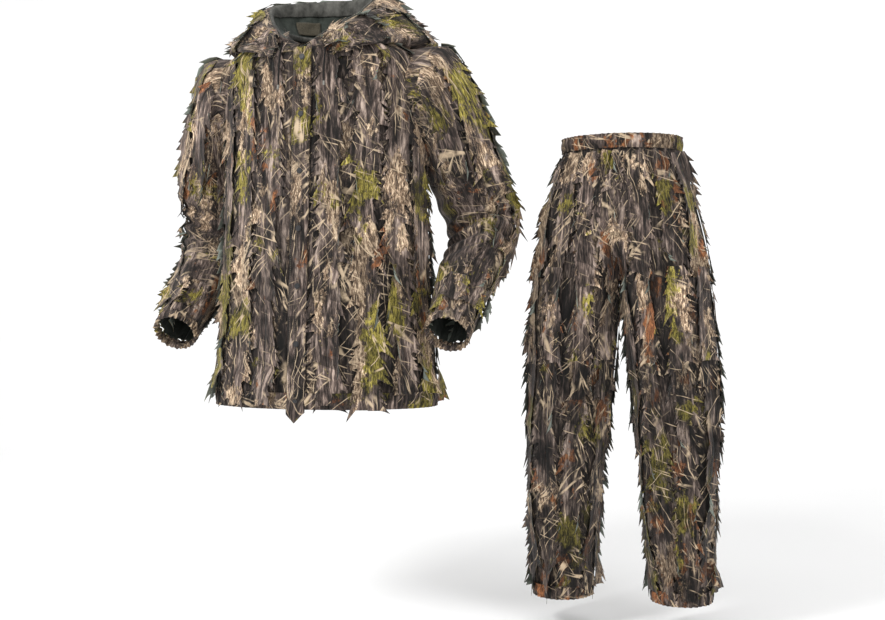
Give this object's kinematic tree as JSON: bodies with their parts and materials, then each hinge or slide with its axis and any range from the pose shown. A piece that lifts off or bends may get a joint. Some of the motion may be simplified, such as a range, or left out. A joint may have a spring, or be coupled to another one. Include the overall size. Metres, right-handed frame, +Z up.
{
  "type": "ghillie suit",
  "caption": "Two-piece leafy camouflage suit: a hooded snap-front jacket with elastic cuffs and hem, and elastic-waist trousers.",
  "frame": {"origin": "centre of the jacket's neck seam, where the wearer's shoulders hold the suit up", "axes": "+Z up, the suit faces -Y, the wearer's left is +X"},
  "size_m": [1.2571, 0.4998, 1.3385],
  "materials": {
    "camo_cloth": "printed woven polyester in a bark and leaf camouflage",
    "leaf_fabric": "laser-cut printed leaf lobes with pale undersides",
    "hood_lining": "grey-green wrong side of the cloth",
    "elastic": "covered elastic",
    "black_snap": "black enamelled snap cap",
    "snap_metal": "black enamelled snap parts",
    "eyelet_metal": "black enamelled eyelet",
    "cord": "black braided cord",
    "cord_tip": "small moulded tip",
    "label": "blank woven label"
  },
  "bodies": {
    "jacket": {"back_leaf_strips": "leaf_fabric", "back_panel": "camo_cloth", "hem_casing": "camo_cloth", "hem_elastic": "elastic", "left_cord_tip": "cord_tip", "left_drawcord": "cord", "left_eyelet": "eyelet_metal", "left_front_leaf_strips": "leaf_fabric", "left_front_panel": "camo_cloth", "neck_binding": "hood_lining", "right_cord_tip": "cord_tip", "right_drawcord": "cord", "right_eyelet": "eyelet_metal", "right_front_leaf_strips": "leaf_fabric", "right_front_panel": "camo_cloth", "snap_backs": "snap_metal", "snap_studs": "snap_metal", "under_placket": "camo_cloth"},
    "placket_flap": {"front_placket": "camo_cloth", "snap_caps": "black_snap", "snap_sockets": "snap_metal"},
    "hood": {"hood_edge_tunnel": "hood_lining", "hood_leaf_strips": "leaf_fabric", "hood_left_panel": "camo_cloth", "hood_right_panel": "camo_cloth", "neck_label": "label"},
    "left_upper_arm": {"left_upper_sleeve": "camo_cloth", "left_upper_sleeve_leaf_strips": "leaf_fabric"},
    "left_forearm": {"left_cuff_casing": "camo_cloth", "left_cuff_elastic": "elastic", "left_lower_sleeve": "camo_cloth", "left_lower_sleeve_leaf_strips": "leaf_fabric"},
    "right_upper_arm": {"right_upper_sleeve": "camo_cloth", "right_upper_sleeve_leaf_strips": "leaf_fabric"},
    "right_forearm": {"right_cuff_casing": "camo_cloth", "right_cuff_elastic": "elastic", "right_lower_sleeve": "camo_cloth", "right_lower_sleeve_leaf_strips": "leaf_fabric"},
    "trousers": {"back_seat_leaf_strips": "leaf_fabric", "front_seat_leaf_strips": "leaf_fabric", "left_seat_panel": "camo_cloth", "right_seat_panel": "camo_cloth", "waistband_casing": "camo_cloth", "waistband_elastic": "elastic"},
    "left_thigh": {"left_thigh_leaf_strips": "leaf_fabric", "left_thigh_panel": "camo_cloth"},
    "left_shin": {"left_ankle_casing": "camo_cloth", "left_ankle_elastic": "elastic", "left_shin_leaf_strips": "leaf_fabric", "left_shin_panel": "camo_cloth"},
    "right_thigh": {"right_thigh_leaf_strips": "leaf_fabric", "right_thigh_panel": "camo_cloth"},
    "right_shin": {"right_ankle_casing": "camo_cloth", "right_ankle_elastic": "elastic", "right_shin_leaf_strips": "leaf_fabric", "right_shin_panel": "camo_cloth"}
  },
  "joints": [
    {"name": "placket_fold", "type": "hinge", "parent": "jacket", "child": "placket_flap", "pos_m": [0.0225, -0.1592, -0.45], "axis": [0, 0.0525, 0.9986], "range_deg": [0, 80]},
    {"name": "hood_raise", "type": "hinge", "parent": "jacket", "child": "hood", "pos_m": [0, -0.085, -0.02], "axis": [1, 0, 0], "range_deg": [0, 70]},
    {"name": "trousers_apart", "type": "slide", "parent": "jacket", "child": "trousers", "axis": [1, 0, 0], "range_m": [0, 0.25]},
    {"name": "left_shoulder", "type": "hinge", "parent": "jacket", "child": "left_upper_arm", "pos_m": [0.247, 0.025, -0.155], "axis": [-1, 0, 0], "range_deg": [0, 60]},
    {"name": "left_elbow", "type": "hinge", "parent": "left_upper_arm", "child": "left_forearm", "pos_m": [0.302, 0.0476, -0.428], "axis": [-0.9659, 0.187, -0.1793], "range_deg": [0, 40]},
    {"name": "left_hip", "type": "hinge", "parent": "trousers", "child": "left_thigh", "pos_m": [0.741, 0.048, -0.557], "axis": [-1, 0, 0], "range_deg": [0, 50]},
    {"name": "left_knee", "type": "hinge", "parent": "left_thigh", "child": "left_shin", "pos_m": [0.762, 0.288, -0.881], "axis": [1, 0, 0], "range_deg": [0, 60]},
    {"name": "right_shoulder", "type": "hinge", "parent": "jacket", "child": "right_upper_arm", "pos_m": [-0.247, 0.025, -0.155], "axis": [-1, 0, 0], "range_deg": [0, 60]},
    {"name": "right_elbow", "type": "hinge", "parent": "right_upper_arm", "child": "right_forearm", "pos_m": [-0.302, 0.0476, -0.428], "axis": [-0.9659, -0.187, 0.1793], "range_deg": [0, 40]},
    {"name": "right_hip", "type": "hinge", "parent": "trousers", "child": "right_thigh", "pos_m": [0.539, 0.048, -0.557], "axis": [-1, 0, 0], "range_deg": [0, 50]},
    {"name": "right_knee", "type": "hinge", "parent": "right_thigh", "child": "right_shin", "pos_m": [0.518, 0.288, -0.881], "axis": [1, 0, 0], "range_deg": [0, 60]}
  ]
}
